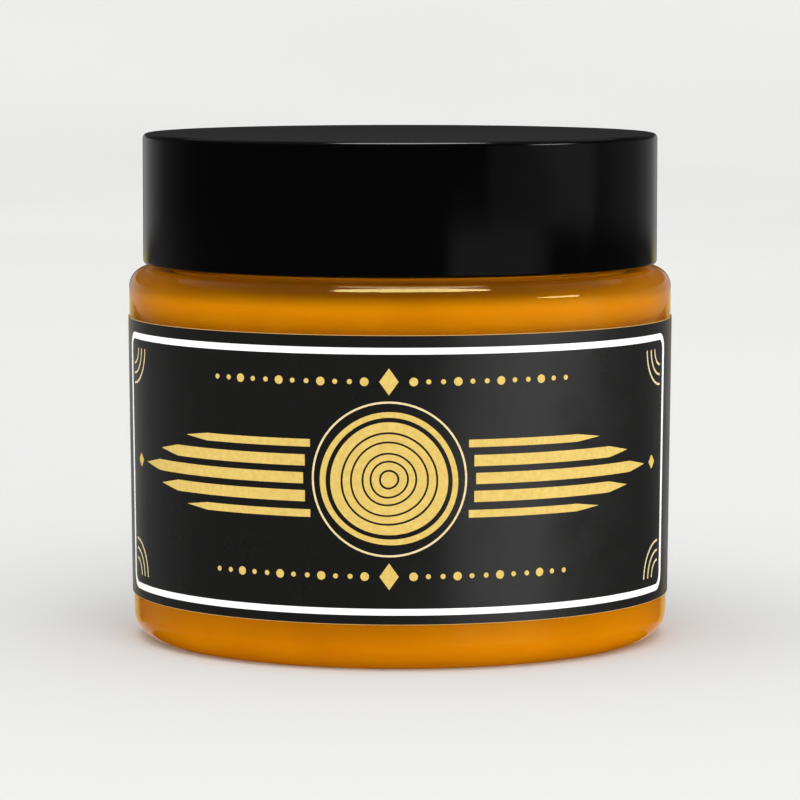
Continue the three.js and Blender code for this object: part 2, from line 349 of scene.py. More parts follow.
def clear_where(tree, shader, marked, colour):
    """The shader, but clear for the rays or faces that an output marks with 1."""
    clear = add(tree, "ShaderNodeBsdfTransparent", {"Color": colour})
    either = add(tree, "ShaderNodeMixShader", links={
        0: marked, 1: shader.outputs["BSDF"], 2: clear.outputs["BSDF"]})
    tree.links.new(either.outputs["Shader"], tree.nodes["Material Output"].inputs["Surface"])


# %% [markdown]
# The jar is clear polyester: polished, with a faint warm tint and a slow ripple that breaks the highlights
# on the shoulder. A glass shader alone blocks the light that the wax behind it needs, and a thinner wall
# wouldn't help, so shadow rays pass straight through and all other rays meet the plastic.

# %% Clear plastic


def let_light_pass(tree, shader):
    """Shadow rays go through the plastic."""
    shadow_ray = add(tree, "ShaderNodeLightPath").outputs["Is Shadow Ray"]
    clear_where(tree, shader, shadow_ray, (1, 0.99, 0.97, 1))


# Specular Tint paints amber into the plastic's highlights and reflections, in place of light that the wax
# behind sends back.
clear_plastic, tree, shader = finish("clear_plastic", Base_Color=(1, 0.95, 0.78, 1), IOR=1.5,
                                     Transmission_Weight=1.0, Specular_Tint=(1, 0.76, 0.22, 1))
roughened(tree, shader, scale=160, clean=0.015, smeared=0.05)
bumped(tree, shader, use(tree, ripple, Scale=90), strength=0.06, depth=0.4)
let_light_pass(tree, shader)

# %% [markdown]
# The underside is moulded against textured steel, so it is frosted and doesn't pipe light along the base.

# %% Frosted underside
frosted_base, tree, shader = finish("frosted_base", Base_Color=(1, 0.93, 0.72, 1), IOR=1.5,
                                    Transmission_Weight=1.0)
roughened(tree, shader, scale=300, clean=0.45, smeared=0.6)
bumped(tree, shader, use(tree, grain, Scale=2500), strength=0.4, depth=0.06)
let_light_pass(tree, shader)

# %% [markdown]
# The wax is a set paste of beeswax and oil: deep amber, a little translucent, with soft clouds where it
# cooled at different speeds. A volume would scatter light truly but slowly, so Subsurface does it. Against
# the wall the wax has no gloss of its own, because no air lies between. Its open top has a waxy sheen.

# %% Amber wax
AMBER_DEEP = (0.60, 0.21, 0.001, 1)
AMBER_LIGHT = (0.68, 0.25, 0.0013, 1)
SMEARED_WAX = 0.15  # the roughness that a smear adds


def wax_finish(name, gloss, roughness, relief):
    material, tree, shader = finish(name, Specular_IOR_Level=gloss, Subsurface_Weight=0.5,
                                    Subsurface_Radius=(1.0, 0.35, 0.05), Subsurface_Scale=3.0 * MM)
    clouds = use(tree, ripple, Scale=140)
    two_tone(tree, shader, clouds, low=0.3, high=0.7, dark=AMBER_DEEP, light=AMBER_LIGHT)
    roughened(tree, shader, scale=200, clean=roughness, smeared=roughness + SMEARED_WAX)
    bumped(tree, shader, use(tree, grain, Scale=1200), relief, depth=0.1)
    return material


wax_at_wall = wax_finish("wax_at_wall", gloss=0.0, roughness=0.6, relief=0.05)
wax_open_top = wax_finish("wax_open_top", gloss=0.25, roughness=0.35, relief=0.3)

# %% [markdown]
# The cap is black polypropylene with a smooth, slightly soft gloss. Handling has left its edges a shade
# paler, and a few motes lie on its top. Both could be painted by hand, but masks from the shape itself
# follow every edge.

# %% Black plastic
BLACK = (0.0007, 0.0007, 0.0008, 1)
RUBBED_BLACK = (0.006, 0.006, 0.006, 1)
MOTE_GREY = (0.12, 0.115, 0.11, 1)
black_plastic, tree, shader = finish("black_plastic", Specular_IOR_Level=0.25)
worn = tinted(tree, BLACK, RUBBED_BLACK, use(tree, rubbed, Scale=500))
dusty = tinted(tree, worn, MOTE_GREY, use(tree, dust, Scale=1600, Amount=0.04))
tree.links.new(dusty, shader.inputs["Base Color"])
roughened(tree, shader, scale=110, clean=0.1, smeared=0.17)
bumped(tree, shader, use(tree, grain, Scale=5000), strength=0.04, depth=0.05)

# %% [markdown]
# The label is a thin film: a base that shows only as a warm hairline at its cut edges, satin black print
# over it, and white and gold inks on top. An image could colour one sheet, but inks made as finishes of
# their own stay sharp at any distance.

# %% Film and inks
INK_GRAIN = 2500
SMEARED_INK = 0.08  # the roughness that a smear adds


def printed(name, dark, light, roughness, ior):
    material, tree, shader = finish(name, IOR=ior)
    speckle = use(tree, grain, Scale=INK_GRAIN)
    two_tone(tree, shader, speckle, 0.35, 0.65, (*dark, 1), (*light, 1))
    roughened(tree, shader, scale=150, clean=roughness, smeared=roughness + SMEARED_INK)
    bumped(tree, shader, use(tree, grain, Scale=2 * INK_GRAIN), strength=0.05, depth=0.03)
    return material


film_base = printed("film_base", (0.55, 0.33, 0.1), (0.62, 0.4, 0.14), roughness=0.35, ior=1.4)
film_black = printed("film_black", (0.0052, 0.005, 0.0046), (0.0068, 0.0066, 0.0061),
                     roughness=0.27, ior=2.0)
ink_white = printed("ink_white", (0.86, 0.855, 0.83), (0.9, 0.895, 0.87), roughness=0.45, ior=1.5)
ink_gold = printed("ink_gold", (0.57, 0.39, 0.088), (0.65, 0.465, 0.115), roughness=0.45, ior=1.45)
ink_pale_gold = printed("ink_pale_gold", (0.64, 0.5, 0.26), (0.72, 0.59, 0.33), roughness=0.45, ior=1.45)

# %% [markdown]
# Under the cap lie a white foam liner and a natural polythene disc. Foam shows a fine cell structure, which
# one grain raises; the same grain darkens the low parts, as painted shade in the pores. Polythene is milky:
# light goes a little way into it.

# %% Foam and milky plastic
white_foam, tree, shader = finish("white_foam", Specular_IOR_Level=0.25, Subsurface_Weight=0.3,
                                  Subsurface_Radius=(1, 1, 1), Subsurface_Scale=0.5 * MM)
cell_relief_and_shade = use(tree, grain, Scale=4200, Detail=1)
# The grain that raises the foam also darkens its low parts: painted shade in the pores.
two_tone(tree, shader, cell_relief_and_shade, 0.3, 0.6, dark=(0.72, 0.72, 0.7, 1), light=(0.88, 0.88, 0.86, 1))
roughened(tree, shader, scale=300, clean=0.7, smeared=0.9)
bumped(tree, shader, cell_relief_and_shade, strength=0.5, depth=0.06)

milky_plastic, tree, shader = finish("milky_plastic", Specular_IOR_Level=0.45, Subsurface_Weight=0.6,
                                     Subsurface_Radius=(1, 0.97, 0.9), Subsurface_Scale=1.5 * MM)
flow = use(tree, ripple, Scale=200)
two_tone(tree, shader, flow, 0.3, 0.7, dark=(0.74, 0.75, 0.73, 1), light=(0.84, 0.85, 0.83, 1))
roughened(tree, shader, scale=250, clean=0.32, smeared=0.48)
bumped(tree, shader, use(tree, grain, Scale=2600), strength=0.08, depth=0.05)

# %% [markdown]
# The jar itself: a hollow foot, a leaning side, a rounded shoulder, a threaded neck and the inside wall. A
# Solidify modifier could give one skin a wall, but the wall is thick at the shoulder and thin at the rim, so
# inside and outside are one profile. The skin is closed, because clear plastic bends light only between two
# true surfaces.

# %% Sizes of the jar
SHOULDER = 30.35
SHOULDER_ROUND = 1.6
SHOULDER_UNDERSIDE = 28.85
INNER_SHOULDER_ROUND = 1.2
BODY_LEAN = 0.34
BODY_WALL = 1.5
HEEL_ROUND = 2.2
INNER_HEEL_ROUND = 1.2
FLOOR = 1.0
PUSH_UP = 0.3  # the hollow under the base
PUSH_UP_SLOPE = 1.0
FOOT_INNER = 17.1
FOOT_EDGE_ROUND = 0.3
NECK_RADIUS = 18.7
NECK_ROOT_ROUND = 0.5
BORE_RADIUS = 17.1
RIM_ROUND = 0.35


def side_radius(z):
    """The jar's outside leans in a little towards the table."""
    return BODY_RADIUS - BODY_LEAN * (SHOULDER - z) / SHOULDER


inner_top = side_radius(SHOULDER_UNDERSIDE) - BODY_WALL
inner_low = side_radius(FLOOR) - BODY_WALL
print(f"inside radius {inner_low:.2f} at the floor, {inner_top:.2f} under the shoulder")

# %% Jar
THREAD_SIDES = 288
THREAD_START = 0.175  # in turns, where the ridge begins
NECK_THREAD_DEPTH = 1.1
NECK_THREAD_TURNS = 1.0
NECK_THREAD_HIGH = RIM - 1.9
NECK_THREAD_LOW = NECK_THREAD_HIGH - THREAD_PITCH * NECK_THREAD_TURNS
FROSTED_RADIUS = FOOT_INNER + 2.0
FROSTED_BELOW = PUSH_UP + 0.01
neck_ridge = thread_on(NECK_RADIUS, NECK_THREAD_DEPTH, NECK_THREAD_LOW, THREAD_START, NECK_THREAD_TURNS)
jar_profile = rounded([
    (0, PUSH_UP),
    (FOOT_INNER - PUSH_UP_SLOPE, PUSH_UP, PUSH_UP),
    (FOOT_INNER, 0, FOOT_EDGE_ROUND),
    (side_radius(0), 0, HEEL_ROUND),
    (BODY_RADIUS, SHOULDER, SHOULDER_ROUND),
    (NECK_RADIUS, SHOULDER, NECK_ROOT_ROUND),
    (NECK_RADIUS, RIM, RIM_ROUND),
    (BORE_RADIUS, RIM, RIM_ROUND),
    (BORE_RADIUS, SHOULDER_UNDERSIDE, RIM_ROUND),
    (inner_top, SHOULDER_UNDERSIDE, INNER_SHOULDER_ROUND),
    (inner_low, FLOOR, INNER_HEEL_ROUND),
    (0, FLOOR),
])
jar = turned("jar", with_rings(jar_profile, NECK_RADIUS), clear_plastic, "jar", THREAD_SIDES, neck_ridge)
jar.data.materials.append(frosted_base)
for face in jar.data.polygons:
    inside_foot = math.hypot(face.center.x, face.center.y) < FROSTED_RADIUS * MM
    face.material_index = int(inside_foot and face.center.z < FROSTED_BELOW * MM)
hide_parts("jar_body")

# %% [markdown]
# The wax was poured warm, so it wets the wall. Two faces in one place would flicker, and a gap would show a
# film of air, so in the mesh the wax reaches a hair into the plastic and a ray in the wall meets wax. That
# is why a full jar looks amber right out to its edge. The open top climbs at its rim and dips in the middle.

# %% Wax
WETTING = 0.02
WAX_TOP = RIM - 8.4
WAX_BRIM = WAX_TOP + 0.5
BRIM_WIDTH = 2.0
BRIM_ROUND = 2.0
DIP_RADIUS = 7.0
DIP_ROUND = 3.0
DIP_EDGE = WAX_TOP - 0.05
DIP_CENTRE = WAX_TOP - 0.25
OPEN_ABOVE = WAX_TOP - 0.4
OPEN_UPWARD = 0.2  # the least upward part of the normal of an open face
wax_profile = rounded([
    (0, FLOOR - WETTING),
    (inner_low + WETTING, FLOOR - WETTING, INNER_HEEL_ROUND + WETTING),
    (inner_top + WETTING, SHOULDER_UNDERSIDE + WETTING, INNER_SHOULDER_ROUND + WETTING),
    (BORE_RADIUS + WETTING, SHOULDER_UNDERSIDE + WETTING, RIM_ROUND),
    (BORE_RADIUS + WETTING, WAX_BRIM),
    (BORE_RADIUS - BRIM_WIDTH, WAX_TOP, BRIM_ROUND),
    (DIP_RADIUS, DIP_EDGE, DIP_ROUND),
    (0, DIP_CENTRE),
])
wax = turned("wax", wax_profile, wax_at_wall, "jar")
wax.data.materials.append(wax_open_top)
for face in wax.data.polygons:
    face.material_index = int(face.center.z > OPEN_ABOVE * MM and face.normal.z > OPEN_UPWARD)
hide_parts("wax_fill")

# %% [markdown]
# The label wraps the side and stops short of itself at the back. Film and inks are sheets drawn in two
# flat measures, along the wrap and up the jar, and laid on the leaning side. Each is a thin closed solid. A
# Solidify modifier could thicken it, but it would round the shading over the rims, so both faces and the
# rims are made here, and the print stays flat and crisp.

# %% Sheets on the side of the jar
LABEL_RADIUS = side_radius((LABEL_LOW + LABEL_HIGH) / 2)
PRINT_TURN = math.radians(-2.2)
WELD = 0.002


def on_label(u, v, lift, turn):
    """A flat point (u along the wrap, v up the jar) laid on the side, in metres."""
    angle = u / LABEL_RADIUS - math.pi / 2 + turn
    r = side_radius(v) + lift
    return r * math.cos(angle) * MM, r * math.sin(angle) * MM, v * MM


def bridge(bm, low, high):
    """Faces between two rows of the same length."""
    for k in range(len(low) - 1):
        bm.faces.new((low[k], low[k + 1], high[k + 1], high[k]))


def rims(grid, closed):
    """The border of a grid: its two sides and, unless it closes on itself, its first and last row."""
    sides = [[row[-1] for row in grid], [row[0] for row in grid]]
    return sides if closed else sides + [grid[0], grid[-1]]


def sheet(name, patches, lift, thickness, material, turn=PRINT_TURN):
    """Patches are grids of (u, v) rows; a closed patch repeats its first row."""
    bm = bmesh.new()
    for rows in patches:
        layers = []
        for out in (lift, lift + thickness):
            layers.append([[bm.verts.new(on_label(u, v, out, turn)) for u, v in row] for row in rows])
        for grid in layers:
            for first, second in zip(grid, grid[1:]):
                bridge(bm, first, second)
        closed = rows[0] == rows[-1]
        under, over = (rims(grid, closed) for grid in layers)
        for low, high in zip(under, over):
            bridge(bm, low, high)
    bmesh.ops.remove_doubles(bm, verts=bm.verts, dist=WELD * MM)
    bmesh.ops.recalc_face_normals(bm, faces=bm.faces)
    return finish_mesh(name, mesh_from(bm, name), material, "jar")


# %% [markdown]
# Everything printed is drawn with a few kinds of mark: a line of even width, a band, a ring or dot, and a
# diamond. Curve objects with a bevel could draw lines, but they would have to be bent round the jar
# afterwards, so each mark is a small grid of flat points.

# %% Marks in flat measures
PATH_STEP = 0.7
CORNER_STEP = 15  # degrees
DIAMOND_STEPS = 8


def spaced(low, high, size):
    """Even places from low to high, no further apart than size."""
    count = max(1, math.ceil(abs(high - low) / size))
    return [low + (high - low) * k / count for k in range(count + 1)]


def arc(u, v, radius, first, last, step):
    """Points about (u, v) from one angle to another, in degrees."""
    turns = [math.radians(t) for t in range(first, last + 1, step)]
    return [(u + radius * math.cos(t), v + radius * math.sin(t)) for t in turns]


def line(path, width, closed=False):
    """A painted line of even width along flat points."""
    rows = []
    for i, p in enumerate(path):
        back = path[i - 1] if closed or i else path[0]
        ahead = path[(i + 1) % len(path)] if closed or i + 1 < len(path) else path[-1]
        along = (Vector(ahead) - Vector(back)).normalized()
        side = Vector((-along.y, along.x)) * width / 2
        rows.append([tuple(Vector(p) - side), tuple(Vector(p) + side)])
    return rows + rows[:1] if closed else rows


def band(low_u, high_u, half_height, v, size):
    """A filled shape between u limits, whose half height is a function of u."""
    return [[(u, v - half_height(u)), (u, v + half_height(u))] for u in spaced(low_u, high_u, size)]


def ring(u, v, inner, outer, count=72):
    """A ring or disc: inner and outer are radii, or functions of the angle."""
    rows = []
    for k in range(count + 1):
        a = 2 * math.pi * (k % count) / count
        c, s = math.cos(a), math.sin(a)
        near = inner(a) if callable(inner) else inner
        far = outer(a) if callable(outer) else outer
        rows.append([(u + r * c, v + r * s) for r in (near, far)])
    return rows


def diamond(u, v, width, height):
    def half_height(x):
        return height / 2 * (1 - abs(x - u) / (width / 2))

    return band(u - width / 2, u + width / 2, half_height, v, width / DIAMOND_STEPS)


def box_path(half_width, low, high, corner):
    """A rounded rectangle, anticlockwise."""
    points = []
    right, left = half_width - corner, corner - half_width
    bottom, top = low + corner, high - corner
    for u, v, start in ((right, bottom, -90), (right, top, 0), (left, top, 90), (left, bottom, 180)):
        points += arc(u, v, corner, start, start + 90, CORNER_STEP)
    path = []
    for p, q in zip(points, points[1:] + points[:1]):
        count = max(1, math.ceil((Vector(q) - Vector(p)).length / PATH_STEP))
        path += [tuple(Vector(p).lerp(Vector(q), k / count)) for k in range(count)]
    return path


# %% [markdown]
# The film goes nearly all the way round. The black print stops a hair short of the film's cut edges, and a
# white line frames the front. The three could be one sheet with three materials, but then their edges would
# follow the sheet's faces, so each is a sheet of its own, one over the other.

# %% Film, black print and white frame
SEAM = 2.0
CUT_EDGE = 0.04
FILM_STEP = 0.5
FILM_LIFT = 0.02
FILM_THICK = 0.08
BLACK_LIFT = 0.1
INK_LIFT = 0.115
INK_THICK = 0.012
FRAME_HALF = 28.75
FRAME_LOW = LABEL_LOW + 1.02
FRAME_HIGH = LABEL_HIGH - 1.22
FRAME_WIDTH = 0.52
FRAME_CORNER = 1.1


def wrap(inset):
    """The whole wrap, drawn in from its edges by an inset."""
    reach = math.pi * LABEL_RADIUS - SEAM / 2 - inset
    return [[(u, LABEL_LOW + inset), (u, LABEL_HIGH - inset)] for u in spaced(-reach, reach, FILM_STEP)]


film = sheet("label_film", [wrap(0)], FILM_LIFT, FILM_THICK, film_base, turn=0)
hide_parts("wrap_label")
black = sheet("label_black", [wrap(CUT_EDGE)], BLACK_LIFT, INK_THICK, film_black, turn=0)
frame_path = box_path(FRAME_HALF, FRAME_LOW, FRAME_HIGH, FRAME_CORNER)
sheet("label_frame", [line(frame_path, FRAME_WIDTH, closed=True)], INK_LIFT, INK_THICK, ink_white)

# %% [markdown]
# The print is a plain trade ornament: a cut log end with its growth rings, set between tapered stripes, with
# rows of dots above and below and quarter fans in the corners. It could be traced from a drawing, but drawn
# from lines, rings and bands it stays easy to change.

# %% Log end and stripes
CENTRE = (LABEL_LOW + LABEL_HIGH) / 2 + 0.1
GROWTH = [(5.3, 4.85), (4.5, 3.72), (3.56, 3.0), (2.85, 2.12), (1.97, 1.5), (1.35, 0.78), (0.62, 0)]
LOG_RADIUS = GROWTH[0][0]
HALO_INNER = LOG_RADIUS + 0.62
HALO_OUTER = LOG_RADIUS + 0.78
OVAL = 0.02
BULGE = 0.014
STRIPES = [(0, 0.44, 24.6), (1.4, 0.44, 21.8), (2.75, 0.3, 18.2)]  # level, half height, end
STRIPE_START = LOG_RADIUS + 1.5
STRIPE_POINT = 2.4
STRIPE_STEP = 0.4


def wobble(radius):
    """A growth ring: nearly round, a little off true, each in its own direction."""
    lean = 0.4 + radius / 4
    return lambda a: radius * (1 + OVAL * math.sin(2 * a + lean) + BULGE * math.sin(3 * a + 2.1 * lean))


def stripe(side, level, half_height, end):
    """A stripe that starts at a circle round the log end and is drawn to a point."""
    start = math.sqrt(STRIPE_START ** 2 - level ** 2)
    low, high = sorted((side * start, side * end))

    def tapered(u):
        return half_height * min(1, (end - abs(u)) / STRIPE_POINT)

    return band(low, high, tapered, CENTRE + level, STRIPE_STEP)


gold = [ring(0, CENTRE, wobble(inner), wobble(outer)) for outer, inner in GROWTH]
pale = [ring(0, CENTRE, HALO_INNER, HALO_OUTER)]
for side in (-1, 1):
    for level, half_height, end in STRIPES:
        for up in (1, -1) if level else (1,):
            gold.append(stripe(side, up * level, half_height, end))
print(f"{len(GROWTH)} growth rings, {len(gold) - len(GROWTH)} stripes")

# %% Diamonds, dots and fans
END_DIAMOND_AT = 26.1
END_DIAMOND = 1.2
ROW_DIAMOND_WIDTH = 1.5
ROW_DIAMOND_HEIGHT = 2.1
DOT_ROW = 7.6  # from the centre, up and down
DOT_COUNT = 12
DOT_FIRST = 1.9
DOT_SPACING = 1.15
DOT_SMALL = 0.2
DOT_LARGE = 0.34  # each third one
DOT_SIDES = 20
FAN_INSET = 0.95
FAN_RADII = (1.3, 2.1, 2.9)
FAN_LINE = 0.18
FAN_STEP = 6  # degrees
for side in (-1, 1):
    gold.append(diamond(side * END_DIAMOND_AT, CENTRE, END_DIAMOND, END_DIAMOND))
for v in (CENTRE + DOT_ROW, CENTRE - DOT_ROW):
    gold.append(diamond(0, v, ROW_DIAMOND_WIDTH, ROW_DIAMOND_HEIGHT))
    for k in range(DOT_COUNT):
        radius = DOT_SMALL if k % 3 else DOT_LARGE
        for side in (-1, 1):
            gold.append(ring(side * (DOT_FIRST + DOT_SPACING * k), v, 0, radius, DOT_SIDES))
for side in (-1, 1):
    corner_u = side * (FRAME_HALF - FAN_INSET)
    for up, corner_v in ((1, FRAME_LOW + FAN_INSET), (-1, FRAME_HIGH - FAN_INSET)):
        for radius in FAN_RADII:
            quarter = arc(0, 0, radius, 0, 90, FAN_STEP)
            pale.append(line([(corner_u - side * u, corner_v + up * v) for u, v in quarter], FAN_LINE))
sheet("label_gold", gold, INK_LIFT, INK_THICK, ink_gold)
sheet("label_gold_lines", pale, INK_LIFT, INK_THICK, ink_pale_gold)

# %% [markdown]
# The cap: a plain skirt with a small round at its top edge, a bead inside that keeps the liner, and the
# thread that runs under the jar's. A Bevel modifier could round its edges, but the profile's own rounds
# leave the thread alone. The cap's ridge starts where the jar's ridge lies one spacing above it.

# %% Cap
SEAT_GAP = 0.1
CAP_BORE = 20.0
CAP_CEILING = LINER_HIGH + SEAT_GAP
CAP_CEILING_ROUND = 0.3
CAP_TOP_ROUND = 0.4
CAP_LIP_ROUND = 0.25
MOUTH_CHAMFER = 0.4
BEAD_TOP = LINER_LOW - SEAT_GAP
BEAD_DEPTH = 0.35
BEAD_HEIGHT = 0.7
BEAD_ROUND = 0.25
CAP_THREAD_DEPTH = 1.0
CAP_THREAD_TURNS = 0.9
CAP_THREAD_LOW = CAP_LOW + 1.25
FLANK_GAP = 0.15
FLANK_OVERLAP = 0.09
RIDGE_SPACING = (THREAD_ROOT + THREAD_CREST) / 2 + FLANK_GAP + FLANK_OVERLAP
cap_start = THREAD_START + (CAP_THREAD_LOW + RIDGE_SPACING - NECK_THREAD_LOW) / THREAD_PITCH
cap_ridge = thread_on(CAP_BORE, CAP_THREAD_DEPTH, CAP_THREAD_LOW, cap_start, CAP_THREAD_TURNS)
cap_profile = rounded([
    (0, CAP_CEILING),
    (CAP_BORE, CAP_CEILING, CAP_CEILING_ROUND),
    (CAP_BORE, BEAD_TOP),
    (CAP_BORE - BEAD_DEPTH, BEAD_TOP - BEAD_HEIGHT / 2, BEAD_ROUND),
    (CAP_BORE, BEAD_TOP - BEAD_HEIGHT),
    (CAP_BORE, CAP_LOW + MOUTH_CHAMFER),
    (CAP_BORE + MOUTH_CHAMFER, CAP_LOW),
    (CAP_RADIUS, CAP_LOW, CAP_LIP_ROUND),
    (CAP_RADIUS, CAP_HIGH, CAP_TOP_ROUND),
    (0, CAP_HIGH),
])
cap = turned("cap", with_rings(cap_profile, CAP_BORE), black_plastic, "cap", THREAD_SIDES,
             lambda angle, p: -cap_ridge(angle, p))
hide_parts("screw_cap")

# %% [markdown]
# The liner is die-cut foam, with the faint ring that the disc's flange has pressed into it. A bump could
# show that ring, but not at its edge against the light, so the profile itself has the shallow groove.

# %% Liner
PRESSED = LINER_LOW + 0.06
PRESSED_INNER = BORE_RADIUS - 0.4
PRESSED_OUTER = DISC_RADIUS + 0.1
PRESSED_SLOPE = 0.2
PRESSED_ROUND = 0.3
LINER_EDGE_ROUND = 0.12
liner_profile = rounded([
    (0, LINER_LOW),
    (PRESSED_INNER - PRESSED_SLOPE, LINER_LOW, PRESSED_ROUND),
    (PRESSED_INNER, PRESSED, PRESSED_ROUND),
    (PRESSED_OUTER, PRESSED, PRESSED_ROUND),
    (PRESSED_OUTER + PRESSED_SLOPE, LINER_LOW, PRESSED_ROUND),
    (LINER_RADIUS, LINER_LOW, LINER_EDGE_ROUND),
    (LINER_RADIUS, LINER_HIGH, LINER_EDGE_ROUND),
    (0, LINER_HIGH),
])
liner = turned("liner", liner_profile, white_foam, "seal")
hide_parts("cap_liner")

# %% [markdown]
# The sealing disc is a shallow dish whose flange lies on the rim, with one low ring on the floor of the dish
# that keeps it flat. Its pull tab isn't round, so it is a mesh of its own, half a millimetre clear of the
# floor on a short root. Its edges are softened by a Bevel modifier, because they are all alike.

# %% Sealing disc
DISC_SEAT = RIM + SEAT_GAP
DISC_LIP = BORE_RADIUS - 0.25
DISC_WALL = 0.6
DISH_FLOOR = DISC_LOW + DISC_WALL
DISH_ROUND = 0.5
LEAD_IN_WIDTH = 1.6
LEAD_IN_RISE = 0.05
LEAD_IN_ROUND = 0.3
FLANGE_ROOT_ROUND = 0.12
FLANGE_ROUND = 0.15
MOUTH_ROUND = 0.2
RIB_OUTER = 10.6
RIB_INNER = 9.6
RIB_SLOPE = 0.2
RIB_TOP = DISH_FLOOR + 0.25
RIB_ROUND = 0.12
RIB_ROOT_ROUND = 0.2
disc_profile = rounded([
    (0, DISC_LOW),
    (DISC_LIP - LEAD_IN_WIDTH, DISC_LOW, LEAD_IN_ROUND),
    (DISC_LIP, DISC_LOW + LEAD_IN_RISE, DISH_ROUND),
    (DISC_LIP, DISC_SEAT, FLANGE_ROOT_ROUND),
    (DISC_RADIUS, DISC_SEAT, FLANGE_ROUND),
    (DISC_RADIUS, DISC_HIGH, FLANGE_ROUND),
    (DISC_LIP - DISC_WALL, DISC_HIGH, MOUTH_ROUND),
    (DISC_LIP - DISC_WALL, DISH_FLOOR, DISH_ROUND),
    (RIB_OUTER, DISH_FLOOR, RIB_ROOT_ROUND),
    (RIB_OUTER - RIB_SLOPE, RIB_TOP, RIB_ROUND),
    (RIB_INNER + RIB_SLOPE, RIB_TOP, RIB_ROUND),
    (RIB_INNER, DISH_FLOOR, RIB_ROOT_ROUND),
    (0, DISH_FLOOR),
])
disc = turned("disc", disc_profile, milky_plastic, "seal")
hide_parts("sealing_disc")

# %% Pull tab
TAB_LENGTH = 11.0
TAB_WIDTH = 8.0
TAB_THICK = 0.6
TAB_LIFT = 0.5
TAB_STEP = 6  # degrees
TAB_SOFTNESS = 0.15
ROOT_LENGTH = 2.4
ROOT_OVERLAP = 0.1  # how far the root reaches into the disc and the tab


def slab(bm, outline, low, high):
    """A flat prism from an outline, anticlockwise seen from above."""
    bottom = [bm.verts.new((x * MM, y * MM, low * MM)) for x, y in outline]
    top = [bm.verts.new((x * MM, y * MM, high * MM)) for x, y in outline]
    bm.faces.new(bottom[::-1])
    bm.faces.new(top)
    bridge(bm, bottom + bottom[:1], top + top[:1])


tab_round = TAB_WIDTH / 2
tab_foot = -TAB_LENGTH / 2
tab_outline = [(-tab_round, tab_foot), (tab_round, tab_foot)]
tab_outline += arc(0, TAB_LENGTH / 2 - tab_round, tab_round, 0, 180, TAB_STEP)
root_half = tab_round - TAB_THICK
root_near = tab_foot + ROOT_OVERLAP
root_far = tab_foot + ROOT_LENGTH
root_outline = [(-root_half, root_near), (root_half, root_near),
                (root_half, root_far), (-root_half, root_far)]
tab_low = DISH_FLOOR + TAB_LIFT
bm = bmesh.new()
slab(bm, tab_outline, tab_low, tab_low + TAB_THICK)
slab(bm, root_outline, DISH_FLOOR - ROOT_OVERLAP, tab_low + ROOT_OVERLAP)
tab = finish_mesh("disc_tab", mesh_from(bm, "disc_tab"), milky_plastic, "seal")
soft = tab.modifiers.new("soft_edges", "BEVEL")
soft.width = TAB_SOFTNESS * MM
soft.segments = 3

# %% [markdown]
# The stage is a pale floor that sweeps up into a wall, in a pale surround. A plane and a backdrop could do,
# but their corner would show as a line. Neither floor nor surround is mirrored. The floor is clear from
# below, so that the underside of the jar can be seen.

# %% Floor
FLOOR_DARK = (0.73, 0.73, 0.725, 1)
FLOOR_LIGHT = (0.76, 0.76, 0.755, 1)
FLOOR_REACH = 3.0
SWEEP_START = 0.9
SWEEP_ROUND = 1.2
SWEEP_STEPS = 24
floor_finish, tree, shader = finish("pale_floor", Specular_IOR_Level=0.0)
two_tone(tree, shader, use(tree, ripple, Scale=6), 0.3, 0.7, FLOOR_DARK, FLOOR_LIGHT)
roughened(tree, shader, scale=20, clean=0.6, smeared=0.7)
from_below = add(tree, "ShaderNodeNewGeometry").outputs["Backfacing"]
clear_where(tree, shader, from_below, (1, 1, 1, 1))
sweep = [(-FLOOR_REACH, 0.0)]
for k in range(SWEEP_STEPS + 1):
    turn = math.pi / 2 * k / SWEEP_STEPS
    sweep.append((SWEEP_START + SWEEP_ROUND * math.sin(turn), SWEEP_ROUND * (1 - math.cos(turn))))
sweep.append((SWEEP_START + SWEEP_ROUND, FLOOR_REACH))
bm = bmesh.new()
rows = [[bm.verts.new((x, y, z)) for x in (-FLOOR_REACH, FLOOR_REACH)] for y, z in sweep]
for low, high in zip(rows, rows[1:]):
    bridge(bm, low, high)
mesh = mesh_from(bm, "floor_sweep")
mesh.shade_smooth()
mesh.materials.append(floor_finish)
floor = bpy.data.objects.new("floor_sweep", mesh)
bpy.context.collection.objects.link(floor)
floor.visible_glossy = False
floor.visible_shadow = False
print("floor:", [round(side, 2) for side in floor.dimensions], "m")

# %% Surround
SURROUND_STRENGTH = 0.95
world = bpy.data.worlds.new("surround")
bpy.context.scene.world = world
world.use_nodes = True
background = world.node_tree.nodes["Background"]
background.inputs["Color"].default_value = (0.8, 0.8, 0.8, 1)
background.inputs["Strength"].default_value = SURROUND_STRENGTH
world.cycles_visibility.glossy = False
print("surround strength:", SURROUND_STRENGTH)

# %% [markdown]
# How black plastic looks is decided by what it mirrors. Real white and black cards would also light the jar
# and show in the picture, so the reflections come from one painted card round the jar that only mirror rays
# see. It is nearly black in front, paler in panels on the right, and bright towards the back on both sides,
# where the edges of the jar look. The cap shows its upper part and the label its lower part. The polished
# jar shows two narrow stretches of it sharply, and those are amber at their ends. Above the cap's part the
# card is dark, and a ceiling closes it for the flat top of the cap.

